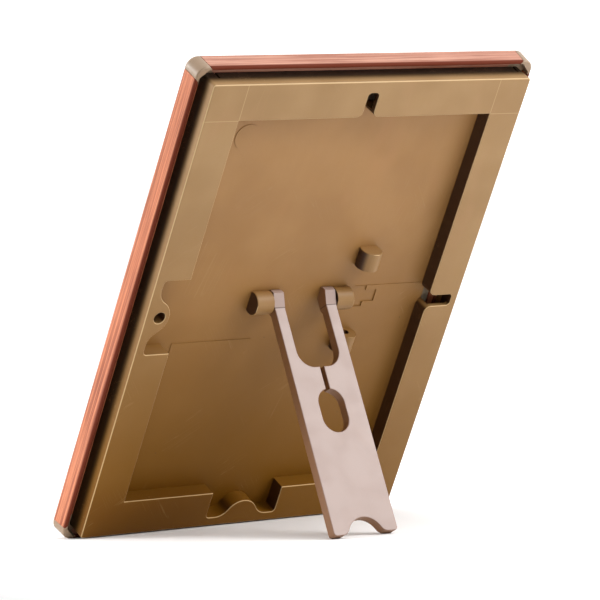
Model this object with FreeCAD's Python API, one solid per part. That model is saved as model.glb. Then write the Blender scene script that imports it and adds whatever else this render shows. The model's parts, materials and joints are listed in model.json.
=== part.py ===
import FreeCAD, Part
import math
import os

# Table-top photo frame: four wood strips joined by moulded corner pieces, glass, print and card held
# in a rebate, and a moulded back with a folding easel leg.
#
# Everything is drawn upright first, in millimetres: X to the right seen from the front, Z up, and
# Y towards the back, with Y = 0 on the rear plane of the moulded back and Z = 0 on its lower edge.
# At the end the whole frame is leaned back until it stands on its lower edge and on the leg.

Vector = FreeCAD.Vector

# ---- driving dimensions -------------------------------------------------------------------------
# moulded back
BACK_WIDTH = 140.0
BACK_HEIGHT = 191.0
BACK_DEPTH = 9.0
WALL = 2.0
FLOOR_DEPTH = 6.6            # recess floor, below the rear plane
FLOOR_THICKNESS = 2.2
RING_BOTTOM = 14.9           # widths of the raised ring on its four sides
RING_TOP = 14.6
RING_NOTCH_SIDE = 14.8
RING_SLOT_SIDE = 13.8
BACK_CORNER_ROUND = 1.0
BACK_EDGE_ROUND = 0.6
RECESS_EDGE_ROUND = 0.35
RIB_THICKNESS = 1.2
RIBS_UP = (0.10, 0.30, 0.70, 0.90)   # as shares of the back's height
RIBS_ACROSS = (-0.30, 0.30)          # as shares of its width, from the middle

# nests for the leg's feet, one in the lower ring and one in the side ring
NEST_HALF_WIDTH = 15.7
NEST_CORNER = 1.6
NEST_FLOOR = 3.6             # pocket bottom, from the outer edge of the back
NEST_HUMP_HALF_WIDTH = 11.6
NEST_HUMP_HEIGHT = 6.6
NEST_HUMP_CROWN = 7.3        # radius over the hump's crest
HANG_HOLE_RADIUS = 2.35
HANG_HOLE_INSET = 6.1        # hole centre, from the outer edge of the back

# slots in the ring, for a hook
SLOT_HALF_WIDTH = 2.4
SLOT_FLARE = 2.6
SLOT_CORNER = 1.5
SIDE_SLOT_END = 2.8          # closed end of the slot, from the outer edge of the back
TOP_SLOT_END = 4.7

# slits in the outer walls, which let them spring into the strips
SLIT_INSETS = {1: 5.3, -1: 2.6}      # from each side of the back
SLIT_WIDTH = 0.8
SLIT_TOP = -5.1
SLIT_REACH = 3.0

# shallow steps that the mould leaves on the recess floor
MARK_STEP = 0.22
FIELD_X = (15.5, 50.3)
FIELD_TOP = 79.7
DISC_RADIUS = 5.1
DISC_X = 44.4
DISC_Z = 166.0
BAND_HALF_WIDTH = 4.6
PLUS_LONG_ARM = (10.2, 2.5)  # half length and half width, across the back
PLUS_SHORT_ARM = (5.2, 4.5)  # half width and half length, up the back

# hinge bosses and leg
HINGE_Y = -4.5
HINGE_Z = 96.5
LANDSCAPE_HINGE_X = -25.5    # the hinge for lying on the side is at half the back's height
BOSS_RADIUS = 4.4
BOSS_LENGTH = 7.5
BOSS_EDGE_ROUND = 0.4
BOSS_GAP = 28.6
BORE_RADIUS = 1.60
BORE_DEPTH = 4.2
PIN_RADIUS = 1.53
PIN_LENGTH = 3.9
PIN_ROOT = 1.0               # the part of the pin that is inside the leg's head
LEG_LENGTH = 91.35            # hinge axis to the tips of the feet
HEAD_HALF_WIDTH = 13.8
FOOT_HALF_WIDTH = 14.2
LEG_OUTER = 2.6              # outer and inner faces, from the hinge axis
LEG_INNER = -1.4
LEG_OPEN = 53.35             # opening angle at the stop, in degrees
HEAD_RADIUS = 4.6
HEAD_FRONT = 1.9             # front edge of the head and crease below it, from the hinge axis
CREASE = 3.3
HEEL_RADIUS = 1.9            # what passes between the hinge axis and the recess floor
HEEL_LENGTH = 4.4
FORK_HALF_WIDTH = 9.3
FORK_DEPTH = 26.9
FORK_CORNER = 6.5
SLIT_HALF_WIDTH = 0.85
OVAL_HALF_WIDTH = 5.65
OVAL_TOP = 35.7
OVAL_BOTTOM = 52.5
ARCH_HALF_WIDTH = 10.1
ARCH_HEIGHT = 6.0
ARCH_CROWN = 8.0             # radius over the arch's crest
FOOT_CORNER = 1.3
LEG_EDGE_ROUND = 0.35

# wood strips, as offsets outward from the side of the moulded back, and heights along Y
STRIP_REAR = -5.8
STRIP_FRONT_EDGE = -12.7
STRIP_OUT_REAR = 4.1
STRIP_OUT_FRONT = 4.6
STRIP_GROOVE = 2.8           # the groove between the back and the strip's outer wall
LEDGE = -9.2
LIP = -13.0
FRONT_FACE = -15.2
REBATE = -6.0
SIGHT = -8.0
SIGHT_FALL = 1.2             # the front face falls back this far towards the glass
CROWN = 0.6                  # where the front face stands highest
SHOULDER = (3.6, 0.9)        # a point of the rounding outside the crown: offset and fall
REAR_EDGE_ROUND = 0.7
CORNER_REACH = 4.7           # joint line, from the sharp outer corner
CORNER_ROUND = 4.5
CORNER_WEB = 7.0             # inner web: the two distances from the outer sides add up to this
CORNER_BLANK = 18.0
JOINT_GAP = 0.05
JOINT_EDGE_ROUND = 0.15
TONGUE = (4.0, 8.0)          # corner tongue: across the strip, from its outer side
TONGUE_Y = (-13.0, -10.4)
TONGUE_ROOT = 6.0
TONGUE_REACH = 19.0
TONGUE_PLAY = 0.1

# what the rebate holds
SHEET_WIDTH = 127.0
SHEET_HEIGHT = 178.0
GLASS_THICKNESS = 2.0
GLASS_EDGE_ROUND = 0.3
PRINT_THICKNESS = 0.25
CARD_THICKNESS = 1.5

OUTER_HALF_WIDTH = BACK_WIDTH / 2 + STRIP_OUT_FRONT
OUTER_BOTTOM = -STRIP_OUT_FRONT
OUTER_TOP = BACK_HEIGHT + STRIP_OUT_FRONT
Y_AXIS = Vector(0, 1, 0)
OVER = 1.0                   # how far a cutting shape runs past the face that it cuts


# ---- small helpers --------------------------------------------------------------------------------
def block(x, y, z):
    """A box between the two ends given along each axis."""
    corner = Vector(min(x), min(y), min(z))
    return Part.makeBox(abs(x[1] - x[0]), abs(y[1] - y[0]), abs(z[1] - z[0]), corner)


def line(start, end):
    return Part.LineSegment(start, end).toShape()


def arc(start, middle, end):
    return Part.Arc(start, middle, end).toShape()


def hump(at, half, height, crown):
    """A smooth hump from (-half, 0) to (half, 0): one arc over the crest, and one in each foot."""
    angle = 2 * math.atan(height / half)
    foot = half / math.sin(angle) - crown

    def on_crown(a):
        return at(crown * math.sin(a), height - crown * (1 - math.cos(a)))

    def on_foot(side, a):
        return at(side * (half - foot * math.sin(a)), foot * (1 - math.cos(a)))

    return [
        arc(on_foot(-1, 0), on_foot(-1, angle / 2), on_foot(-1, angle)),
        arc(on_crown(-angle), on_crown(0), on_crown(angle)),
        arc(on_foot(1, angle), on_foot(1, angle / 2), on_foot(1, 0)),
    ]


def prism(edges, along):
    return Part.Face(Part.Wire(edges)).extrude(along)


def polygon_prism(points, y):
    """A prism along Y over a polygon of (x, z) corners."""
    corners = [Vector(x, min(y), z) for x, z in points]
    face = Part.Face(Part.makePolygon(corners + corners[:1]))
    return face.extrude(Vector(0, abs(y[1] - y[0]), 0))


def turned(shape, degrees, axis, centre=Vector(0, 0, 0)):
    copy = shape.copy()
    copy.rotate(centre, axis, degrees)
    return copy


def moved(shape, x=0.0, y=0.0, z=0.0):
    copy = shape.copy()
    copy.translate(Vector(x, y, z))
    return copy


def rounded(shape, radius, wanted):
    """Round every edge for which wanted(edge) is true."""
    edges = [edge for edge in shape.Edges if wanted(edge)]
    return shape.makeFillet(radius, edges)


def lies_on_y(edge, y):
    return all(abs(vertex.Y - y) < 1e-4 for vertex in edge.Vertexes)


# ---- moulded back ---------------------------------------------------------------------------------
RECESS_X = (-BACK_WIDTH / 2 + RING_SLOT_SIDE, BACK_WIDTH / 2 - RING_NOTCH_SIDE)
RECESS_Z = (RING_BOTTOM, BACK_HEIGHT - RING_TOP)


def nest(grow, y):
    """The double pocket for the two feet, over the lower edge of the back, centred on X = 0."""
    half = NEST_HALF_WIDTH + grow
    low = NEST_FLOOR - grow
    top = RING_BOTTOM + OVER
    corner = NEST_CORNER + grow
    foot = NEST_HUMP_HALF_WIDTH

    def at(x, z):
        return Vector(x, y[0], z)

    bend = corner * (1 - math.sqrt(0.5))
    edges = [
        line(at(-half, top), at(-half, low + corner)),
        arc(at(-half, low + corner), at(-half + bend, low + bend), at(-half + corner, low)),
        line(at(-half + corner, low), at(-foot, low)),
        *hump(lambda x, z: at(x, low + z), foot, NEST_HUMP_HEIGHT, NEST_HUMP_CROWN),
        line(at(foot, low), at(half - corner, low)),
        arc(at(half - corner, low), at(half - bend, low + bend), at(half, low + corner)),
        line(at(half, low + corner), at(half, top)),
        line(at(half, top), at(-half, top)),
    ]
    return prism(edges, Vector(0, y[1] - y[0], 0))


def side_nest(grow, y):
    """The same double pocket in the ring's side, for the leg's other place."""
    upright = turned(nest(grow, y), -90, Y_AXIS)
    return moved(upright, x=BACK_WIDTH / 2, z=BACK_HEIGHT / 2)


def wall_slot(mouth, end, y):
    """A slot that runs up from the recess, with a flared mouth and rounded corners, on X = 0."""
    half = SLOT_HALF_WIDTH
    flat = half - SLOT_CORNER
    wide = half + SLOT_FLARE
    bend = SLOT_FLARE * math.sqrt(0.5)
    neck = mouth + SLOT_FLARE
    top = end - SLOT_CORNER
    turn = SLOT_CORNER * math.sqrt(0.5)

    def at(x, z):
        return Vector(x, y[0], z)

    edges = [
        line(at(-wide, mouth - OVER), at(-wide, mouth)),
        arc(at(-wide, mouth), at(-wide + bend, neck - bend), at(-half, neck)),
        line(at(-half, neck), at(-half, top)),
        arc(at(-half, top), at(-flat - turn, top + turn), at(-flat, end)),
        line(at(-flat, end), at(flat, end)),
        arc(at(flat, end), at(flat + turn, top + turn), at(half, top)),
        line(at(half, top), at(half, neck)),
        arc(at(half, neck), at(wide - bend, neck - bend), at(wide, mouth)),
        line(at(wide, mouth), at(wide, mouth - OVER)),
        line(at(wide, mouth - OVER), at(-wide, mouth - OVER)),
    ]
    return prism(edges, Vector(0, y[1] - y[0], 0))


def hinge_boss(side):
    """One of a pair of hinge bosses on the X axis, standing on the recess floor, with a blind bore."""
    inner = side * BOSS_GAP / 2
    outer = side * (BOSS_GAP / 2 + BOSS_LENGTH)
    along = Vector(side, 0, 0)
    body = Part.makeCylinder(BOSS_RADIUS, BOSS_LENGTH, Vector(inner, 0, 0), along)
    body = rounded(body, BOSS_EDGE_ROUND, lambda edge: abs(edge.BoundBox.XMin - outer) < 1e-6
                   and abs(edge.BoundBox.XMax - outer) < 1e-6)
    foot = -FLOOR_DEPTH - HINGE_Y - FLOOR_THICKNESS / 2
    keep = block((inner, outer), (foot, BOSS_RADIUS), (-BOSS_RADIUS, BOSS_RADIUS))
    mouth = Vector(inner - side * OVER, 0, 0)
    bore = Part.makeCylinder(BORE_RADIUS, BORE_DEPTH + OVER, mouth, along)
    return body.common(keep), bore


def hinge_pairs():
    """The bosses and bores of both hinges: one for standing upright, one for lying on the side."""
    bosses = []
    bores = []
    for side in (-1, 1):
        body, bore = hinge_boss(side)
        for shape, group in ((body, bosses), (bore, bores)):
            group.append(moved(shape, y=HINGE_Y, z=HINGE_Z))
            upright = turned(shape, 90, Y_AXIS)
            group.append(moved(upright, x=LANDSCAPE_HINGE_X, y=HINGE_Y, z=BACK_HEIGHT / 2))
    return bosses, bores


def stiffening_ribs():
    """Thin ribs across the hollow of the ring, between its outer and inner walls."""
    inside = WALL / 2
    depth = (-BACK_DEPTH + inside, -inside)
    ribs = []
    for share in RIBS_UP:
        z = (BACK_HEIGHT * share, BACK_HEIGHT * share + RIB_THICKNESS)
        ribs.append(block((-BACK_WIDTH / 2 + inside, RECESS_X[0] - inside), depth, z))
        ribs.append(block((RECESS_X[1] + inside, BACK_WIDTH / 2 - inside), depth, z))
    for share in RIBS_ACROSS:
        x = (BACK_WIDTH * share, BACK_WIDTH * share + RIB_THICKNESS)
        ribs.append(block(x, depth, (inside, RECESS_Z[0] - inside)))
        ribs.append(block(x, depth, (RECESS_Z[1] + inside, BACK_HEIGHT - inside)))
    return ribs


def back_panel():
    """The moulded back: a raised hollow ring round a recess, with both hinges on the recess floor."""
    half = BACK_WIDTH / 2
    outer = block((-half, half), (-BACK_DEPTH, 0), (0, BACK_HEIGHT))
    outer = rounded(outer, BACK_CORNER_ROUND,
                    lambda edge: abs(edge.BoundBox.YLength - BACK_DEPTH) < 1e-6)
    outer = rounded(outer, BACK_EDGE_ROUND, lambda edge: lies_on_y(edge, 0.0))
    hollow = block((-half + WALL, half - WALL), (-BACK_DEPTH - OVER, -WALL),
                   (WALL, BACK_HEIGHT - WALL))
    through = (-FLOOR_DEPTH - FLOOR_THICKNESS, -WALL / 2)
    tray = block((RECESS_X[0] - WALL, RECESS_X[1] + WALL), through,
                 (RECESS_Z[0] - WALL, RECESS_Z[1] + WALL))
    tray = tray.multiFuse([nest(WALL, through), side_nest(WALL, through)])
    hole_at = Vector(half - HANG_HOLE_INSET, through[0], BACK_HEIGHT / 2)
    collar = Part.makeCylinder(HANG_HOLE_RADIUS + WALL, through[1] - through[0], hole_at, Y_AXIS)
    panel = outer.cut(hollow).multiFuse([tray, collar] + stiffening_ribs())
    panel = panel.common(outer)

    open_depth = (-FLOOR_DEPTH, OVER)
    recess = block(RECESS_X, open_depth, RECESS_Z)
    top_slot = wall_slot(RECESS_Z[1], BACK_HEIGHT - TOP_SLOT_END, open_depth)
    top_slot = moved(top_slot, x=(RECESS_X[0] + RECESS_X[1]) / 2)
    side_slot = wall_slot(-RECESS_X[0], half - SIDE_SLOT_END, open_depth)
    side_slot = moved(turned(side_slot, -90, Y_AXIS), z=BACK_HEIGHT / 2)
    hang_hole = Part.makeCylinder(HANG_HOLE_RADIUS, BACK_DEPTH + OVER, hole_at, Y_AXIS)
    panel = panel.cut(recess.multiFuse([nest(0, open_depth), side_nest(0, open_depth),
                                        top_slot, side_slot, hang_hole]))
    panel = rounded(panel.removeSplitter(), RECESS_EDGE_ROUND, is_recess_rim)

    slits = spring_slits()
    bosses, bores = hinge_pairs()
    panel = panel.cut(slits[0].multiFuse(slits[1:]))
    panel = panel.multiFuse(raised_marks()).cut(plus_mark())
    return panel.multiFuse(bosses).cut(bores[0].multiFuse(bores[1:])).removeSplitter()


def is_recess_rim(edge):
    """True for the edges of the recess, nests, slots and hole in the ring's rear plane."""
    middle = edge.BoundBox.Center
    in_width = abs(middle.x) < BACK_WIDTH / 2 - WALL
    in_height = WALL < middle.z < BACK_HEIGHT - WALL
    return lies_on_y(edge, 0.0) and in_width and in_height


def spring_slits():
    """Narrow slits near the ends of the upper and lower walls, which let the walls spring."""
    slits = []
    for side, inset in SLIT_INSETS.items():
        middle = side * (BACK_WIDTH / 2 - inset)
        x = (middle - SLIT_WIDTH / 2, middle + SLIT_WIDTH / 2)
        for z in (0.0, BACK_HEIGHT):
            slits.append(block(x, (-BACK_DEPTH - OVER, SLIT_TOP), (z - SLIT_REACH, z + SLIT_REACH)))
    return slits


def raised_marks():
    """Low steps on the recess floor: a lower field, an ejector disc, a band to the side slot."""
    root = -FLOOR_DEPTH - FLOOR_THICKNESS / 2
    depth = (root, -FLOOR_DEPTH + MARK_STEP)
    middle = BACK_HEIGHT / 2
    field = block(FIELD_X, depth, (RECESS_Z[0] - WALL / 2, FIELD_TOP))
    disc_at = Vector(DISC_X, root, DISC_Z)
    disc = Part.makeCylinder(DISC_RADIUS, depth[1] - depth[0], disc_at, Y_AXIS)
    band = block((RECESS_X[0] - WALL / 2, LANDSCAPE_HINGE_X), depth,
                 (middle - BAND_HALF_WIDTH, middle + BAND_HALF_WIDTH))
    return [field, disc, band]


def plus_mark():
    """A sunken plus sign between the two bosses of the hinge for lying on the side."""
    depth = (-FLOOR_DEPTH - MARK_STEP, -FLOOR_DEPTH + OVER)
    arms = [block((LANDSCAPE_HINGE_X - x, LANDSCAPE_HINGE_X + x), depth,
                  (BACK_HEIGHT / 2 - z, BACK_HEIGHT / 2 + z))
            for x, z in (PLUS_LONG_ARM, PLUS_SHORT_ARM)]
    return arms[0].fuse(arms[1])


# ---- easel leg ------------------------------------------------------------------------------------
def leg_side_profile():
    """The leg seen from the side, folded flat: hinge axis at the origin, feet down."""
    turn = math.radians(LEG_OPEN)
    reach = math.sqrt(HEAD_RADIUS ** 2 - HEEL_RADIUS ** 2)

    def at(s, h):
        return Vector(-FOOT_HALF_WIDTH, h, -s)

    touch = (-HEEL_RADIUS * math.sin(turn), -HEEL_RADIUS * math.cos(turn))
    flat_end = (touch[0] - reach * math.cos(turn), touch[1] + reach * math.sin(turn))
    head_front = (-HEAD_FRONT, math.sqrt(HEAD_RADIUS ** 2 - HEAD_FRONT ** 2))
    between = (head_front[0] + flat_end[0], head_front[1] + flat_end[1])
    stretch = HEAD_RADIUS / math.hypot(*between)
    half_turn = turn / 2
    heel_step = LEG_INNER + HEEL_RADIUS
    return [
        line(at(LEG_LENGTH, LEG_OUTER), at(CREASE, LEG_OUTER)),
        line(at(CREASE, LEG_OUTER), at(*head_front)),
        arc(at(*head_front), at(between[0] * stretch, between[1] * stretch), at(*flat_end)),
        line(at(*flat_end), at(*touch)),
        arc(at(*touch), at(-HEEL_RADIUS * math.sin(half_turn), -HEEL_RADIUS * math.cos(half_turn)),
            at(0, -HEEL_RADIUS)),
        line(at(0, -HEEL_RADIUS), at(HEEL_LENGTH, -HEEL_RADIUS)),
        line(at(HEEL_LENGTH, -HEEL_RADIUS), at(HEEL_LENGTH + heel_step, LEG_INNER)),
        line(at(HEEL_LENGTH + heel_step, LEG_INNER), at(LEG_LENGTH, LEG_INNER)),
        line(at(LEG_LENGTH, LEG_INNER), at(LEG_LENGTH, LEG_OUTER)),
    ]


def at_leg(x, s):
    """A point in the plane of the leg's outline: x across, s down from the hinge axis."""
    return Vector(x, -HEAD_RADIUS - OVER, -s)


def leg_outline():
    """The leg seen from behind: sides that spread a little, and two feet with an arch between."""
    bend = FOOT_CORNER * (1 - math.sqrt(0.5))
    half = FOOT_HALF_WIDTH
    top = -HEAD_RADIUS - OVER
    corner_s = LEG_LENGTH - FOOT_CORNER
    return [
        line(at_leg(-half, corner_s), at_leg(-HEAD_HALF_WIDTH, top)),
        line(at_leg(-HEAD_HALF_WIDTH, top), at_leg(HEAD_HALF_WIDTH, top)),
        line(at_leg(HEAD_HALF_WIDTH, top), at_leg(half, corner_s)),
        arc(at_leg(half, corner_s), at_leg(half - bend, LEG_LENGTH - bend),
            at_leg(half - FOOT_CORNER, LEG_LENGTH)),
        line(at_leg(half - FOOT_CORNER, LEG_LENGTH), at_leg(ARCH_HALF_WIDTH, LEG_LENGTH)),
        *hump(lambda x, rise: at_leg(-x, LEG_LENGTH - rise),
              ARCH_HALF_WIDTH, ARCH_HEIGHT, ARCH_CROWN),
        line(at_leg(-ARCH_HALF_WIDTH, LEG_LENGTH), at_leg(FOOT_CORNER - half, LEG_LENGTH)),
        arc(at_leg(FOOT_CORNER - half, LEG_LENGTH), at_leg(bend - half, LEG_LENGTH - bend),
            at_leg(-half, corner_s)),
    ]


def leg_openings():
    """The fork between the arms, the slit that lets them spring together, and the oval hole."""
    depth = (-HEAD_RADIUS - OVER, HEAD_RADIUS + OVER)
    flat = FORK_HALF_WIDTH - FORK_CORNER
    shoulder = FORK_DEPTH - FORK_CORNER
    half = FORK_HALF_WIDTH
    fork = block((-half, half), depth, (HEAD_RADIUS + OVER, -shoulder))
    fork = fork.fuse(block((-flat, flat), depth, (-shoulder, -FORK_DEPTH)))
    for side in (-1, 1):
        at = Vector(side * flat, depth[0], -shoulder)
        fork = fork.fuse(Part.makeCylinder(FORK_CORNER, depth[1] - depth[0], at, Y_AXIS))
    slit = block((-SLIT_HALF_WIDTH, SLIT_HALF_WIDTH), depth,
                 (-FORK_DEPTH + OVER, -OVAL_TOP - OVER))
    upper = OVAL_TOP + OVAL_HALF_WIDTH
    lower = OVAL_BOTTOM - OVAL_HALF_WIDTH
    oval = block((-OVAL_HALF_WIDTH, OVAL_HALF_WIDTH), depth, (-upper, -lower))
    for s in (upper, lower):
        at = Vector(0, depth[0], -s)
        oval = oval.fuse(Part.makeCylinder(OVAL_HALF_WIDTH, depth[1] - depth[0], at, Y_AXIS))
    return fork.multiFuse([slit, oval]).removeSplitter()


def stand_leg():
    """The forked leg with its two hinge pins, opened to its stop."""
    plate = prism(leg_side_profile(), Vector(2 * FOOT_HALF_WIDTH, 0, 0))
    outline = prism(leg_outline(), Vector(0, 2 * (HEAD_RADIUS + OVER), 0))
    leg = plate.common(outline).cut(leg_openings()).removeSplitter()
    leg = rounded(leg, LEG_EDGE_ROUND, is_leg_face_edge)
    for side in (-1, 1):
        root = Vector(side * (HEAD_HALF_WIDTH - PIN_ROOT), 0, 0)
        pin = Part.makeCylinder(PIN_RADIUS, PIN_ROOT + PIN_LENGTH, root, Vector(side, 0, 0))
        leg = leg.fuse(pin)
    leg = turned(leg, LEG_OPEN, Vector(1, 0, 0))
    return moved(leg, y=HINGE_Y, z=HINGE_Z)


def is_leg_face_edge(edge):
    """True for the outline edges of the leg's two broad faces, below the head."""
    below_head = edge.BoundBox.ZMin < -HEEL_LENGTH - HEEL_RADIUS
    return below_head and (lies_on_y(edge, LEG_OUTER) or lies_on_y(edge, LEG_INNER))


# ---- wood strips and corner pieces ------------------------------------------------------------------
def strip_section():
    """The strip's section at a corner: distance in from the outer side along X, Y as in the frame."""
    out = STRIP_OUT_FRONT

    def at(offset, y):
        return Vector(out - offset, y, 0)

    r = REAR_EDGE_ROUND
    bend = r * (1 - math.sqrt(0.5))
    rear = STRIP_OUT_REAR
    return [
        arc(at(rear, STRIP_REAR - r), at(rear - bend, STRIP_REAR - bend), at(rear - r, STRIP_REAR)),
        line(at(rear - r, STRIP_REAR), at(STRIP_GROOVE, STRIP_REAR)),
        line(at(STRIP_GROOVE, STRIP_REAR), at(STRIP_GROOVE, LEDGE)),
        line(at(STRIP_GROOVE, LEDGE), at(REBATE, LEDGE)),
        line(at(REBATE, LEDGE), at(REBATE, LIP)),
        line(at(REBATE, LIP), at(SIGHT, LIP)),
        line(at(SIGHT, LIP), at(SIGHT, FRONT_FACE + SIGHT_FALL)),
        arc(at(SIGHT, FRONT_FACE + SIGHT_FALL), at(SIGHT / 2, FRONT_FACE + SIGHT_FALL / 4),
            at(CROWN, FRONT_FACE)),
        arc(at(CROWN, FRONT_FACE), at(SHOULDER[0], FRONT_FACE + SHOULDER[1]),
            at(out, STRIP_FRONT_EDGE)),
        line(at(out, STRIP_FRONT_EDGE), at(rear, STRIP_REAR - r)),
    ]


def tongue(play):
    """The corner piece's tongue, which fits the socket in the strip's end, along X from a corner."""
    return block((TONGUE_ROOT, TONGUE_REACH + play), (TONGUE_Y[0] - play, TONGUE_Y[1] + play),
                 (TONGUE[0] - play, TONGUE[1] + play))


def ends_at(edge, distance, measure):
    """True for an edge whose two ends both measure distance."""
    return all(abs(measure(vertex) - distance) < 1e-4 for vertex in edge.Vertexes)


def swapped(shape):
    """The same shape with X and Z exchanged."""
    return shape.mirror(Vector(0, 0, 0), Vector(1, 0, -1))


def wood_strip(length):
    """A strip along X with its outer side at Z = 0, between two sharp outer corners length apart."""
    upright = Part.Face(Part.Wire(strip_section())).extrude(Vector(0, 0, length))
    strip = swapped(upright)
    width = STRIP_OUT_FRONT - SIGHT + OVER
    start = CORNER_REACH + JOINT_GAP
    shape = [(start - OVER, -OVER), (length - start + OVER, -OVER),
             (length - start - width, width), (start + width, width)]
    strip = strip.common(polygon_prism(shape, (FRONT_FACE - OVER, 0)))
    strip = rounded(strip, JOINT_EDGE_ROUND, lambda edge: ends_at(
        edge, start, lambda vertex: min(vertex.X, length - vertex.X) - vertex.Z))
    socket = tongue(TONGUE_PLAY)
    far_socket = moved(socket.mirror(Vector(0, 0, 0), Vector(1, 0, 0)), x=length)
    return strip.cut(socket).cut(far_socket)


def corner_piece():
    """The corner piece, for a sharp outer corner at X = Z = 0, with the frame towards +X and +Z."""
    reach = CORNER_BLANK
    deep = (FRONT_FACE - OVER, 0)
    face = Part.Face(Part.Wire(strip_section()))
    along_z = face.extrude(Vector(0, 0, reach))
    half = along_z.common(polygon_prism([(0, 0), (reach, reach), (0, reach)], deep))
    mitred = half.fuse(swapped(half))
    inner = STRIP_OUT_FRONT - STRIP_GROOVE
    web = polygon_prism([(inner, inner), (CORNER_WEB - inner, inner), (inner, CORNER_WEB - inner)],
                        (LEDGE, STRIP_REAR))
    rounding = block((-OVER, CORNER_ROUND), deep, (-OVER, CORNER_ROUND))
    outside = moved(face, z=CORNER_ROUND).common(
        block((-OVER, CORNER_ROUND), deep, (CORNER_ROUND - OVER, CORNER_ROUND + OVER)))
    centre = Vector(CORNER_ROUND, 0, CORNER_ROUND)
    turned_side = outside.revolve(centre, Vector(0, -1, 0), 90)
    corner = mitred.cut(rounding).multiFuse([turned_side, web])
    c = CORNER_REACH
    band = [(-c, -2 * c), (reach, reach - c), (reach, reach + c), (-2 * c, -c)]
    corner = corner.common(polygon_prism(band, deep)).removeSplitter()
    corner = rounded(corner, JOINT_EDGE_ROUND, lambda edge: ends_at(
        edge, CORNER_REACH, lambda vertex: abs(vertex.X - vertex.Z)))
    return corner.multiFuse([tongue(0), swapped(tongue(0))]).removeSplitter()


def place_around(shape, quarter_turns):
    """Turn a piece made for the lower left corner to another corner, and move it there."""
    piece = turned(shape, -90 * quarter_turns, Y_AXIS)
    x = -OUTER_HALF_WIDTH if quarter_turns in (0, 3) else OUTER_HALF_WIDTH
    z = OUTER_BOTTOM if quarter_turns in (0, 1) else OUTER_TOP
    return moved(piece, x=x, z=z)


# ---- glass, print and card ----------------------------------------------------------------------------
def sheet(front, thickness):
    """A flat sheet in the rebate, with its front face at the given Y."""
    half = SHEET_WIDTH / 2
    low = (BACK_HEIGHT - SHEET_HEIGHT) / 2
    return block((-half, half), (front, front + thickness), (low, low + SHEET_HEIGHT))


def rebate_contents():
    """Glass, print and card, one behind the other from the lip of the strips."""
    glass = sheet(LIP, GLASS_THICKNESS)
    glass_back = LIP + GLASS_THICKNESS
    return {
        "glass_pane": rounded(glass, GLASS_EDGE_ROUND, lambda edge: lies_on_y(edge, LIP)),
        "photo_print": sheet(glass_back, PRINT_THICKNESS),
        "backing_card": sheet(glass_back + PRINT_THICKNESS, CARD_THICKNESS),
    }


# ---- assembly -------------------------------------------------------------------------------------
def lean_angle():
    """How far the frame leans back, in radians, when its lower edge and the feet stand level."""
    turn = math.radians(LEG_OPEN)
    s = LEG_LENGTH - LEG_EDGE_ROUND
    h = LEG_INNER + LEG_EDGE_ROUND
    foot_y = HINGE_Y + h * math.cos(turn) + s * math.sin(turn)
    foot_z = HINGE_Z + h * math.sin(turn) - s * math.cos(turn)
    rise = foot_z - (REAR_EDGE_ROUND - STRIP_OUT_REAR)
    run = foot_y - (STRIP_REAR - REAR_EDGE_ROUND)
    drop = LEG_EDGE_ROUND - REAR_EDGE_ROUND
    return math.acos(drop / math.hypot(rise, run)) - math.atan2(run, rise)


def upright_pieces():
    """Every piece by name, with the frame upright and the leg open."""
    pieces = {"back_panel": back_panel(), "stand_leg": stand_leg()}
    pieces.update(rebate_contents())
    across = wood_strip(2 * OUTER_HALF_WIDTH)
    up = wood_strip(OUTER_TOP - OUTER_BOTTOM)
    corner = corner_piece()
    strips = (("bottom_strip", across), ("right_strip", up), ("top_strip", across), ("left_strip", up))
    corners = ("corner_lower_left", "corner_lower_right", "corner_upper_right", "corner_upper_left")
    for quarter_turns, (name, strip) in enumerate(strips):
        pieces[name] = place_around(strip, quarter_turns)
    for quarter_turns, name in enumerate(corners):
        pieces[name] = place_around(corner, quarter_turns)
    return pieces


def main():
    os.makedirs("parts", exist_ok=True)
    lean = lean_angle()
    pieces = upright_pieces()
    leaned = {name: turned(shape, -math.degrees(lean), Vector(1, 0, 0))
              for name, shape in pieces.items()}
    whole = Part.Compound(list(leaned.values())).optimalBoundingBox()
    shift = Vector(0, -(whole.YMin + whole.YMax) / 2, -whole.ZMin)
    for name, shape in leaned.items():
        shape = moved(shape, y=shift.y, z=shift.z)
        shape.exportStep("parts/" + name + ".step")
        print(name, "solids", len(shape.Solids), "valid", shape.isValid(),
              "volume %.1f" % shape.Volume)

    def in_place(x, y, z):
        spot = turned(Part.Vertex(x, y, z), -math.degrees(lean), Vector(1, 0, 0)).Point
        return tuple(round(value, 3) for value in (spot + shift))

    print("leans back by %.3f degrees" % math.degrees(lean))
    print("size", [round(v, 2) for v in (whole.XLength, whole.YLength, whole.ZLength)])
    print("hinge axis at", in_place(0, HINGE_Y, HINGE_Z))
    hole_middle = -(FLOOR_DEPTH + FLOOR_THICKNESS + RECESS_EDGE_ROUND) / 2
    hole_x = BACK_WIDTH / 2 - HANG_HOLE_INSET
    print("hang hole at", in_place(hole_x, hole_middle, BACK_HEIGHT / 2))
    print("rear plane at", in_place(-BACK_WIDTH / 2 + RING_SLOT_SIDE / 2, 0, BACK_HEIGHT / 4))
    print("backwards", tuple(round(v, 6) for v in (0, math.cos(lean), -math.sin(lean))))


main()
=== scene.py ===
import json
import math

import bmesh
import bpy
from mathutils import Matrix, Vector


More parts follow.
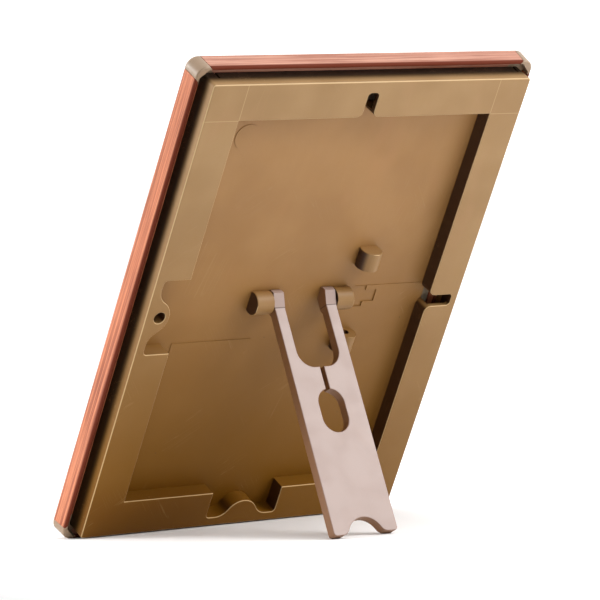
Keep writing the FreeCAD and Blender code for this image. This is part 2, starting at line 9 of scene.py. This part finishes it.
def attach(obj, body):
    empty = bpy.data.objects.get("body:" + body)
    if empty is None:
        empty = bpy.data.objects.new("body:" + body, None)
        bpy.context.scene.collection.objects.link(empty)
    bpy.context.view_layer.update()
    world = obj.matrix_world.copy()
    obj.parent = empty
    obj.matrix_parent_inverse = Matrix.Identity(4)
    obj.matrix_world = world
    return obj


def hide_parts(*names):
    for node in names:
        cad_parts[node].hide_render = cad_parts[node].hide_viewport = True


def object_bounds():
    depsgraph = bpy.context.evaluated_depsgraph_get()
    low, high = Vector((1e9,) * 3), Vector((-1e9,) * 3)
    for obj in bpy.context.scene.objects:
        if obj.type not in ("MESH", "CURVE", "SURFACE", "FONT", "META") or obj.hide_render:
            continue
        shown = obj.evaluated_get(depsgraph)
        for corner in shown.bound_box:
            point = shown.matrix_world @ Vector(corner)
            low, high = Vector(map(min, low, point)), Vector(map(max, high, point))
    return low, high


# The looks of a table-top photo frame that leans back on its easel leg. Lengths in this script are
# in metres in the row frame, except where a name or comment says millimetres.

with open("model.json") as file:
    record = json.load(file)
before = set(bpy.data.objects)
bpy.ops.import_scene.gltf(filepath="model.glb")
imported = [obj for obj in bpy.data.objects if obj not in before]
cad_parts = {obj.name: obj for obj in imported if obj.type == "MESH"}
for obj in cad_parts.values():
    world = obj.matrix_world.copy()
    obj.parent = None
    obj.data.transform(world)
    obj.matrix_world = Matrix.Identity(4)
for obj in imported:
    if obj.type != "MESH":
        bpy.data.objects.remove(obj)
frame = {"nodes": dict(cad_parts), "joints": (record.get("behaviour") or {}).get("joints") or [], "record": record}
CAD_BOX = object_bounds()
MM = 0.001

# the camera: a long lens from behind the frame's right side, nearly level
CAMERA_AZIMUTH = 144.894         # degrees round from the front, towards the frame's right
CAMERA_ELEVATION = 2.142         # degrees
CAMERA_ROLL = 2.052              # degrees
CAMERA_DISTANCE = 1.4
CAMERA_AIM = (12.0, 21.0, -1.1)  # from the middle of the object's box, in mm
LENS_MM = 231.6
SENSOR_MM = 36.0

# the studio
FLOOR_HALF = 30.0
DARK_AZIMUTH = 134.0             # the dark part of the world
DARK_SPREAD = (0.55, 0.85)       # cosines away from it where it begins and where it is full
WORLD_STRENGTH = (1.5, 0.15)     # outside it and in its middle

# the moulded back and the leg, in mm
RING_ACROSS = (13.8, 14.8)       # widths of the ring, on the slot's side and on the nest's side
RING_UPWARD = (14.9, 14.6)       # and along its lower and upper ends
LEG_CREASE = 3.3                 # from the hinge down the leg to the crease in its outer face


# ---- directions and places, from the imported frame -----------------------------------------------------
def mount(name):
    return next(entry for entry in frame["record"]["mounts"] if entry["name"] == name)


HINGE_AT = Vector(frame["joints"][0]["pos_m"])
WALL_AT = Vector(mount("wall_face")["pos_m"])
ACROSS = Vector((1, 0, 0))
OUT = Vector(mount("wall_face")["axis"]).normalized()
UPWARD = ACROSS.cross(OUT)
LEAN = math.atan2(-OUT.z, OUT.y)
LEG_OPEN = math.radians(frame["record"]["behaviour"]["joints"][0]["range_deg"][1])
# the way the leg's broad faces look, with the leg open
LEG_FACE = Vector((0, math.cos(LEG_OPEN - LEAN), math.sin(LEG_OPEN - LEAN)))
# the middle of the back's rear plane, level with the hinge
MIDDLE = HINGE_AT + OUT * (WALL_AT - HINGE_AT).dot(OUT)


def at(x, out, up):
    """A point in the row frame, from millimetres across, out of and up the back, from MIDDLE."""
    return MIDDLE + (ACROSS * x + OUT * out + UPWARD * up) * MM


def reach(node, direction):
    """Where a CAD node begins and ends along a direction, in millimetres from MIDDLE."""
    piece = frame["nodes"][node]
    places = [(piece.matrix_world @ vertex.co - MIDDLE).dot(direction) / MM
              for vertex in piece.data.vertices]
    return min(places), max(places)


def box_middle():
    low, high = CAD_BOX
    return (Vector(low) + Vector(high)) / 2


BACK_ACROSS = reach("back_panel", ACROSS)
BACK_UPWARD = reach("back_panel", UPWARD)


# ---- node graphs --------------------------------------------------------------------------------------
class Graph:
    """One material, with short calls for the nodes used here. Lengths in it are in millimetres."""

    def __init__(self, name):
        self.material = bpy.data.materials.new(name)
        self.material.use_nodes = True
        self.tree = self.material.node_tree
        self.shader = self.tree.nodes["Principled BSDF"]

    def node(self, kind, **settings):
        made = self.tree.nodes.new("ShaderNode" + kind)
        for name, value in settings.items():
            setattr(made, name, value)
        return made

    def link(self, source, socket):
        self.tree.links.new(source, socket)

    def feed(self, socket, value):
        """Link value when it is another node's output, or set it."""
        if isinstance(value, bpy.types.NodeSocket):
            self.link(value, socket)
        else:
            socket.default_value = value

    def upright(self, turn=0.0):
        """Coordinates in mm: across, out of and up the back, turned about the first axis by turn."""
        place = self.node("TexCoord")
        mapping = self.node("Mapping")
        rotation = Matrix.Rotation(LEAN + turn, 3, "X")
        mapping.inputs["Rotation"].default_value = (LEAN + turn, 0, 0)
        mapping.inputs["Scale"].default_value = (1 / MM,) * 3
        mapping.inputs["Location"].default_value = -(rotation @ MIDDLE) / MM
        self.link(place.outputs["Object"], mapping.inputs["Vector"])
        return mapping.outputs["Vector"]

    def stretched(self, vector, x, y, z):
        mapping = self.node("Mapping")
        mapping.inputs["Scale"].default_value = (x, y, z)
        self.link(vector, mapping.inputs["Vector"])
        return mapping.outputs["Vector"]

    def parts(self, vector):
        split = self.node("SeparateXYZ")
        self.link(vector, split.inputs[0])
        return split.outputs

    def noise(self, vector, size, detail=3.0, rough=0.5, twist=0.0):
        """Noise between 0 and 1, with patches about size mm across."""
        made = self.node("TexNoise")
        self.link(vector, made.inputs["Vector"])
        made.inputs["Scale"].default_value = 1 / size
        made.inputs["Detail"].default_value = detail
        made.inputs["Roughness"].default_value = rough
        made.inputs["Distortion"].default_value = twist
        return made.outputs["Fac"]

    def cells(self, vector, size):
        """Distance to the nearest of scattered points, size mm apart."""
        made = self.node("TexVoronoi")
        self.link(vector, made.inputs["Vector"])
        made.inputs["Scale"].default_value = 1 / size
        return made.outputs["Distance"]

    def facing(self, direction):
        """1 where the surface faces along direction or against it, and 0 where it stands edge on."""
        product = self.node("VectorMath", operation="DOT_PRODUCT")
        self.link(self.node("TexCoord").outputs["Normal"], product.inputs[0])
        product.inputs[1].default_value = direction
        return self.math("ABSOLUTE", product.outputs["Value"])

    def span(self, value, low, high, start=0.0, end=1.0):
        """value, taken from low..high to start..end, smoothly and within those ends."""
        made = self.node("MapRange", interpolation_type="SMOOTHSTEP")
        for name, number in (("Value", value), ("From Min", low), ("From Max", high),
                             ("To Min", start), ("To Max", end)):
            self.feed(made.inputs[name], number)
        return made.outputs["Result"]

    def math(self, operation, first, second=0.0):
        made = self.node("Math", operation=operation)
        self.feed(made.inputs[0], first)
        self.feed(made.inputs[1], second)
        return made.outputs[0]

    def mix(self, share, first, second, blend="MIX"):
        """Two colours mixed; the node's colour sockets are its inputs 6 and 7 and its output 2."""
        made = self.node("Mix", data_type="RGBA", blend_type=blend)
        self.feed(made.inputs["Factor"], share)
        for socket, value in ((made.inputs[6], first), (made.inputs[7], second)):
            self.feed(socket, value if isinstance(value, bpy.types.NodeSocket) else (*value, 1))
        return made.outputs[2]

    def bump(self, height, depth, below=None):
        """A bump of depth mm where height goes from 0 to 1."""
        made = self.node("Bump")
        made.inputs["Distance"].default_value = depth * MM
        self.link(height, made.inputs["Height"])
        if below:
            self.link(below, made.inputs["Normal"])
        return made.outputs["Normal"]

    def finish(self, color, rough, normal=None, specular=0.5):
        self.link(color, self.shader.inputs["Base Color"])
        self.feed(self.shader.inputs["Roughness"], rough)
        self.shader.inputs["Specular IOR Level"].default_value = specular
        if normal:
            self.link(normal, self.shader.inputs["Normal"])
        return self.material


# ---- materials ----------------------------------------------------------------------------------------
def moulded_plastic(name, light, dark, warm, rough, specular=0.5, detail=None):
    """Satin moulded plastic: soft patches of colour, faint flow marks, a fine grain and scratches.

    detail, when given, changes the colour further from the graph, the place and the colour so far.
    """
    g = Graph(name)
    place = g.upright()
    patches = g.noise(place, 26, detail=2)
    color = g.mix(g.span(patches, 0.35, 0.65), dark, light)
    warmth = g.noise(g.stretched(place, 1, 1, 0.5), 11, detail=3)
    color = g.mix(g.span(warmth, 0.52, 0.75, 0, 0.4), color, warm)
    flow = g.noise(g.stretched(place, 1.0, 1.0, 0.12), 2.4, detail=4, rough=0.6, twist=0.6)
    color = g.mix(g.span(flow, 0.35, 0.65, 0, 0.12), color, dark)
    speckle = g.noise(place, 0.7, detail=2, rough=0.7)
    color = g.mix(g.span(speckle, 0.35, 0.65, 0, 0.14), color, dark)
    if detail:
        color = detail(g, place, color)
    specks = g.span(g.cells(place, 11), 0.018, 0.030, 0.7, 0)
    color = g.mix(specks, color, tuple(0.3 * share for share in dark))
    scratch = scratches(g, place)
    color = g.mix(g.math("MULTIPLY", scratch, 0.3), color, light)
    grain = g.noise(place, 0.22, detail=2)
    worn = g.span(g.noise(place, 9, detail=4), 0.4, 0.7, rough - 0.03, rough + 0.04)
    finish = g.math("SUBTRACT", worn, g.math("MULTIPLY", scratch, 0.1))
    wavy = g.bump(g.noise(place, 15, detail=1), 0.03)
    normal = g.bump(grain, 0.016, wavy)
    normal = g.bump(scratch, 0.01, normal)
    return g.finish(color, finish, normal, specular)


def back_detail(g, place, color):
    """Painted shade in the recess, low down, on the walls that face across and in the groove behind the strips,
    and a painted highlight along the recess's edges, in the same pale tone as the parting lines.

    The recess floor lies 6.6 mm below the rear plane, where out is 0.
    """
    recess_shade_tone = (1.0, 0.88, 0.72)
    wall_shade_tone = (0.040, 0.014, 0.004)
    groove_shade_tone = (0.014, 0.007, 0.002)
    highlight_and_line_tone = (0.56, 0.38, 0.19)
    x, out, up = g.parts(place)
    # painted shade: the colour is darkened and warmed down in the recess, where shade falls
    color = g.mix(g.span(out, -2.5, -6.3), color, recess_shade_tone, "MULTIPLY")
    color = low_shade_and_warm_reflections(g, x, up, color)
    outside = outer_walls(g, x, up)
    # painted shade: walls that face across, other than the outer walls, are painted near black as if in shade
    shaded_side_wall = g.span(g.facing(ACROSS), 0.60, 0.92)
    shaded_side_wall = g.math("MULTIPLY", shaded_side_wall, g.span(out, -6.35, -6.10))
    shaded_side_wall = g.math("MULTIPLY", shaded_side_wall, g.math("SUBTRACT", 1.0, outside))
    color = g.mix(shaded_side_wall, color, wall_shade_tone)
    # painted shade: the outer walls darken to near black deeper into the groove behind the strips
    groove_shade = g.math("MULTIPLY", outside, g.span(out, -1.2, -5.8))
    color = g.mix(groove_shade, color, groove_shade_tone)
    # painted highlight: a pale line along the edges where the rear plane turns into the recess, in the same pale
    # tone as the parting lines
    rim = g.math("MULTIPLY", g.span(g.facing(OUT), 0.97, 0.80), g.span(out, -0.45, -0.30))
    rim_highlight_and_parting_lines = g.math("MAXIMUM", g.math("MULTIPLY", rim, 0.8),
                   g.math("MULTIPLY", parting_lines(g, x, out, up), 0.35))
    return g.mix(rim_highlight_and_parting_lines, color, highlight_and_line_tone)


def low_shade_and_warm_reflections(g, x, up, color):
    """Painted shade that turns the colour browner towards the lower end, and reflections tinted warmer there, both
    less so on the slot's side, and more painted shade in the lower corner on the nest's side.
    """
    white = (1.0, 1.0, 1.0)
    warm_highlight = (0.80, 0.50, 0.18)
    low_shade_tone = (0.150, 0.062, 0.005)
    corner_shade_tone = (0.80, 0.72, 0.50)
    off_slot_side = g.span(x, -54, -58, 1, 0.7)
    warm = g.math("MULTIPLY", off_slot_side, g.span(up, 40, -96))
    g.feed(g.shader.inputs["Specular Tint"], g.mix(warm, white, warm_highlight))
    # painted shade: the colour turns browner towards the lower end, less so on the slot's side
    lower = g.math("MULTIPLY", off_slot_side, g.span(up, 75, -96))
    color = g.mix(lower, color, low_shade_tone)
    # painted shade: the lower member is darkened further towards the nest's side
    corner_shade = g.math("MULTIPLY", g.span(up, -68, -88), g.span(x, -40, 40))
    return g.mix(corner_shade, color, corner_shade_tone, "MULTIPLY")


def outer_walls(g, x, up):
    """1 on the back's four outer walls, and 0 from 0.9 mm inside them."""
    total = 0.0
    for along, (low, high) in ((x, BACK_ACROSS), (up, BACK_UPWARD)):
        half = (high - low) / 2
        away = g.math("ABSOLUTE", g.math("SUBTRACT", along, (low + high) / 2))
        total = g.math("MAXIMUM", total, g.span(away, half - 0.9, half - 0.5))
    return total


def parting_lines(g, x, out, up):
    """Hair lines on the ring where the mould's insert for the recess meets the rest, fading downwards."""
    total = 0.0
    for along, (low, high), ring in ((x, BACK_ACROSS, RING_ACROSS), (up, BACK_UPWARD, RING_UPWARD)):
        for edge in (low + ring[0], high - ring[1]):
            away = g.math("ABSOLUTE", g.math("SUBTRACT", along, edge))
            total = g.math("MAXIMUM", total, g.span(away, 0.10, 0.22, 1, 0))
    total = g.math("MULTIPLY", total, g.span(up, -75, 30))
    return g.math("MULTIPLY", total, g.span(out, -0.6, -0.2))


def leg_detail(g, place, color):
    """Painted shade on the sides, head and openings, darker and browner than the broad faces, and painted shade
    along the crease at the head.
    """
    side_shade_tone = (0.200, 0.090, 0.036)
    crease_shade_tone = (0.070, 0.028, 0.012)
    # painted shade: faces that turn away from the broad faces' direction are painted darker and browner
    color = g.mix(g.span(g.facing(LEG_FACE), 0.80, 0.45), color, side_shade_tone)
    _, _, along = g.parts(g.upright(-LEG_OPEN))
    hinge_level = -math.sin(LEG_OPEN) * (HINGE_AT - MIDDLE).dot(OUT) / MM
    away = g.math("ABSOLUTE", g.math("SUBTRACT", along, hinge_level - LEG_CREASE))
    # painted shade: a dark line along the crease across the leg's head
    return g.mix(g.span(away, 0.10, 0.30, 0.85, 0), color, crease_shade_tone)


def scratches(g, place):
    """Thin straight scratches in three directions, few and broken into short lengths."""
    total = 0.0
    for turn, spacing in ((0.9, 17), (-0.6, 23), (0.2, 31)):
        turned = g.node("Mapping")
        turned.inputs["Rotation"].default_value = (0, turn, 0)
        g.link(place, turned.inputs["Vector"])
        stretched = g.stretched(turned.outputs["Vector"], 1, 1, 0.03)
        line = g.noise(stretched, spacing / 10, detail=1)
        thin = g.math("ABSOLUTE", g.math("SUBTRACT", line, 0.5))
        thin = g.span(thin, 0.0, 0.012, 1, 0)
        broken = g.span(g.noise(turned.outputs["Vector"], spacing), 0.59, 0.66)
        total = g.math("MAXIMUM", total, g.math("MULTIPLY", thin, broken))
    return total


def strip_wood(name, along_up, light, dark):
    """Reddish wood with a straight grain along the strip, darker, rougher and less coated along its rear edge."""
    g = Graph(name)
    place = g.upright()
    rear_edge_tone = (0.120, 0.020, 0.006)
    squeeze = (1, 1, 0.012) if along_up else (0.012, 1, 1)
    grain_place = g.stretched(place, *squeeze)
    bands = g.noise(grain_place, 0.8, detail=5, rough=0.65, twist=0.4)
    fibres = g.noise(grain_place, 0.25, detail=4, rough=0.7)
    broad = g.noise(g.stretched(place, *(0.3 + 0.7 * side for side in squeeze)), 9, detail=2)
    deep = tuple(0.45 * share for share in dark)
    color = g.mix(g.span(bands, 0.36, 0.62), dark, light)
    color = g.mix(g.span(fibres, 0.52, 0.68, 0, 0.75), color, deep)
    color = g.mix(g.span(broad, 0.40, 0.70, 0, 0.35), color, tuple(1.15 * share for share in light))
    _, out, _ = g.parts(place)
    edge = g.math("ADD", out, g.math("MULTIPLY", bands, 0.6))
    # darker, rougher and less coated towards the strip's rear edge, wavering with the grain
    dark_rear_edge = g.span(edge, -6.9, -6.0)
    color = g.mix(dark_rear_edge, color, rear_edge_tone)
    rough = g.math("ADD", g.span(fibres, 0.3, 0.7, 0.32, 0.50), g.math("MULTIPLY", dark_rear_edge, 0.4))
    normal = g.bump(bands, 0.05)
    normal = g.bump(fibres, 0.03, normal)
    g.feed(g.shader.inputs["Coat Weight"], g.math("SUBTRACT", 0.2, g.math("MULTIPLY", dark_rear_edge, 0.2)))
    g.shader.inputs["Coat Roughness"].default_value = 0.2
    return g.finish(color, rough, normal, 0.2)


def clear_glass():
    g = Graph("clear_glass")
    place = g.upright()
    dust = g.span(g.noise(place, 40, detail=5, rough=0.7), 0.45, 0.8, 0.0, 0.05)
    g.shader.inputs["Transmission Weight"].default_value = 1.0
    g.shader.inputs["IOR"].default_value = 1.5
    tint = g.mix(g.span(g.noise(place, 60), 0.3, 0.7), (0.97, 0.99, 0.98), (0.99, 1.0, 0.99))
    return g.finish(tint, dust)


def board():
    """Grey-brown backing board with short fibres."""
    g = Graph("backing_board")
    place = g.upright()
    fibres = g.noise(g.stretched(place, 1, 1, 0.25), 0.8, detail=5, rough=0.7)
    flecks = g.span(g.cells(place, 1.7), 0.05, 0.16, 1, 0)
    color = g.mix(g.span(fibres, 0.3, 0.7), (0.20, 0.15, 0.10), (0.33, 0.26, 0.18))
    color = g.mix(g.math("MULTIPLY", flecks, 0.5), color, (0.12, 0.09, 0.06))
    return g.finish(color, g.span(fibres, 0.3, 0.7, 0.75, 0.95), g.bump(fibres, 0.08), 0.2)


def landscape():
    """The print: a made-up view of hills over a meadow under a light sky."""
    g = Graph("printed_landscape")
    place = g.upright()
    x, _, up = g.parts(place)
    sky = g.mix(g.span(up, -10, 90), (0.62, 0.72, 0.78), (0.16, 0.33, 0.60))
    clouds = g.noise(g.stretched(place, 0.45, 1, 1.2), 26, detail=6, rough=0.58, twist=0.3)
    color = g.mix(g.span(clouds, 0.50, 0.68), sky, (0.86, 0.87, 0.88))
    # each row of hills: its height up the back, how far it rises and falls, the length of its
    # waves, and its dark and light colours
    hills = (
        (22, 26, 60, (0.28, 0.38, 0.48), (0.36, 0.46, 0.55)),
        (2, 20, 46, (0.14, 0.25, 0.22), (0.22, 0.34, 0.28)),
        (-22, 13, 38, (0.10, 0.17, 0.07), (0.20, 0.28, 0.10)),
        (-44, 8, 55, (0.30, 0.29, 0.08), (0.46, 0.40, 0.15)),
    )
    between_rows = 97.0          # far enough apart in the noise for each row to have its own outline
    for row, (height, rise, length, dark, light) in enumerate(hills):
        ridge = g.node("CombineXYZ")
        g.link(x, ridge.inputs[0])
        ridge.inputs[1].default_value = between_rows * (row + 1)
        outline = g.noise(ridge.outputs[0], length, detail=5, rough=0.45)
        top = g.math("ADD", g.math("MULTIPLY", g.math("SUBTRACT", outline, 0.5), 2 * rise), height)
        inside = g.span(g.math("SUBTRACT", top, up), -0.3, 0.3)
        ground = g.noise(g.stretched(place, 0.4, 1, 1), length / 6, detail=6, rough=0.65)
        color = g.mix(inside, color, g.mix(g.span(ground, 0.35, 0.65), dark, light))
    paper = g.noise(place, 0.3, detail=2)
    return g.finish(color, 0.32, g.bump(paper, 0.004))


# ---- pieces -------------------------------------------------------------------------------------------
def mesh_piece(name, shape, material, body, stands_for):
    """Turn a bmesh in the row frame into a piece that rides on body, in place of some CAD nodes."""
    mesh = bpy.data.meshes.new(name)
    shape.to_mesh(mesh)
    shape.free()
    mesh.materials.append(material)
    piece = bpy.data.objects.new(name, mesh)
    bpy.context.scene.collection.objects.link(piece)
    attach(piece, body)
    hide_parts(*stands_for)


def print_sheet():
    """The print, a hair behind the glass, with a slight bow between its edges."""
    left, right = reach("photo_print", ACROSS)
    front, rear = reach("photo_print", OUT)
    bottom, top = reach("photo_print", UPWARD)
    gap = 0.04
    bow = 0.03
    columns, rows = 24, 32
    shape = bmesh.new()

    def vertex(i, j, out):
        """A vertex of the sheet, i columns across and j rows up."""
        across = i / columns
        upward = j / rows
        fall = bow * math.sin(math.pi * across) * math.sin(math.pi * upward)
        return shape.verts.new(at(left + (right - left) * across, out - fall,
                                  bottom + (top - bottom) * upward))

    def rim(grid):
        """The grid's outer vertices, once round."""
        side = [row[0] for row in grid[:-1]] + grid[-1][:-1]
        return side + [row[-1] for row in grid[:0:-1]] + grid[0][:0:-1]

    grids = [[[vertex(i, j, out) for i in range(columns + 1)] for j in range(rows + 1)]
             for out in (rear - gap, front + gap)]
    for grid in grids:
        for lower, upper in zip(grid, grid[1:]):
            for i in range(columns):
                shape.faces.new([lower[i], lower[i + 1], upper[i + 1], upper[i]])
    rims = list(zip(rim(grids[0]), rim(grids[1])))
    for here, after in zip(rims, rims[1:] + rims[:1]):
        shape.faces.new([here[0], after[0], after[1], here[1]])
    bmesh.ops.recalc_face_normals(shape, faces=shape.faces)
    mesh_piece("picture", shape, landscape(), "frame", ["photo_print"])


def dress(nodes, material):
    """Give CAD nodes a material."""
    for name in nodes:
        mesh = frame["nodes"][name].data
        mesh.materials.clear()
        mesh.materials.append(material)


# ---- floor, lights and camera -------------------------------------------------------------------------
def around(azimuth, distance, elevation=0.0):
    """A point at a distance in the direction azimuth (0 is in front, 90 on the right) and elevation."""
    turn = math.radians(azimuth)
    rise = math.radians(elevation)
    return distance * Vector((math.sin(turn) * math.cos(rise), -math.cos(turn) * math.cos(rise),
                              math.sin(rise)))


def add_stage_quad(name, corners, material):
    mesh = bpy.data.meshes.new(name)
    mesh.from_pydata(corners, [], [(0, 1, 2, 3)])
    mesh.materials.append(material)
    quad = bpy.data.objects.new(name, mesh)
    bpy.context.scene.collection.objects.link(quad)


def add_floor():
    g = Graph("pale_floor")
    place = g.node("TexCoord").outputs["Object"]
    color = g.mix(g.noise(place, 0.5), (0.90, 0.90, 0.90), (0.92, 0.92, 0.92))
    side = FLOOR_HALF
    corners = [(-side, -side, 0), (side, -side, 0), (side, side, 0), (-side, side, 0)]
    add_stage_quad("floor", corners, g.finish(color, 0.9))


def add_area_light(name, azimuth, elevation, distance, size, watts):
    """A square light that faces the middle of the object."""
    data = bpy.data.lights.new(name, "AREA")
    data.shape = "SQUARE"
    data.size = size
    data.energy = watts
    light = bpy.data.objects.new(name, data)
    bpy.context.scene.collection.objects.link(light)
    away = around(azimuth, distance, elevation)
    light.location = box_middle() + away
    light.rotation_euler = away.to_track_quat("Z", "Y").to_euler()


def add_black_card(name, ends, height):
    """A black card that stands on the floor between two places, each an azimuth and a distance."""
    first, second = [around(*place) for place in ends]
    rise = Vector((0, 0, height))
    g = Graph(name)
    place = g.node("TexCoord").outputs["Object"]
    color = g.mix(g.noise(place, 0.02), (0.010, 0.010, 0.010), (0.016, 0.015, 0.015))
    corners = [first, second, second + rise, first + rise]
    add_stage_quad(name, corners, g.finish(color, 1.0, specular=0.0))


def add_world():
    """White all round, and dark in the part of the studio behind the camera, on its left."""
    world = bpy.data.worlds.new("studio")
    bpy.context.scene.world = world
    world.use_nodes = True
    tree = world.node_tree
    direction = tree.nodes.new("ShaderNodeTexCoord").outputs["Generated"]
    towards = tree.nodes.new("ShaderNodeVectorMath")
    towards.operation = "DOT_PRODUCT"
    towards.inputs[1].default_value = around(DARK_AZIMUTH, 1.0)
    tree.links.new(direction, towards.inputs[0])
    strength = tree.nodes.new("ShaderNodeMapRange")
    strength.interpolation_type = "SMOOTHSTEP"
    for name, value in zip(("From Min", "From Max", "To Min", "To Max"), DARK_SPREAD + WORLD_STRENGTH):
        strength.inputs[name].default_value = value
    tree.links.new(towards.outputs["Value"], strength.inputs["Value"])
    background = tree.nodes["Background"]
    background.inputs["Color"].default_value = (1, 1, 1, 1)
    tree.links.new(strength.outputs["Result"], background.inputs["Strength"])


def add_camera():
    data = bpy.data.cameras.new("camera")
    data.sensor_width = SENSOR_MM
    data.lens = LENS_MM
    camera = bpy.data.objects.new("camera", data)
    bpy.context.scene.collection.objects.link(camera)
    roll = math.radians(CAMERA_ROLL)
    back = around(CAMERA_AZIMUTH, 1.0, CAMERA_ELEVATION)
    level = Vector((0, 0, 1)).cross(back).normalized()
    right = level * math.cos(roll) - back.cross(level) * math.sin(roll)
    turn = Matrix((right, back.cross(right), back)).transposed().to_4x4()
    aim = box_middle() + Vector(CAMERA_AIM) * MM
    camera.matrix_world = Matrix.Translation(aim + back * CAMERA_DISTANCE) @ turn
    bpy.context.scene.camera = camera


# ---- the whole ----------------------------------------------------------------------------------------
def main():
    bpy.context.scene.view_settings.view_transform = "Standard"
    add_camera()
    add_floor()
    add_world()
    add_black_card("black_card", ends=((110, 0.195), (137, 0.95)), height=0.9)
    add_area_light("key", azimuth=221, elevation=33, distance=1.3, size=0.7, watts=11)
    add_area_light("rim", azimuth=60, elevation=20, distance=1.0, size=0.4, watts=6)
    dress(["back_panel"], moulded_plastic(
        "tan_plastic", light=(0.315, 0.185, 0.074), dark=(0.275, 0.156, 0.058),
        warm=(0.330, 0.180, 0.076), rough=0.48, specular=0.35, detail=back_detail))
    dress(["stand_leg"], moulded_plastic(
        "mauve_plastic", light=(0.320, 0.228, 0.195), dark=(0.300, 0.210, 0.178),
        warm=(0.325, 0.222, 0.182), rough=0.40, detail=leg_detail))
    corners = [name for name in frame["nodes"] if name.startswith("corner_")]
    dress(corners, moulded_plastic(
        "corner_plastic", light=(0.30, 0.205, 0.130), dark=(0.26, 0.170, 0.100),
        warm=(0.30, 0.190, 0.115), rough=0.40))
    dress(["bottom_strip", "top_strip"], strip_wood(
        "wood_across", along_up=False, light=(0.52, 0.25, 0.17), dark=(0.32, 0.105, 0.055)))
    dress(["left_strip", "right_strip"], strip_wood(
        "wood_upright", along_up=True, light=(0.58, 0.195, 0.090), dark=(0.24, 0.050, 0.016)))
    dress(["glass_pane"], clear_glass())
    dress(["backing_card"], board())
    print_sheet()


main()
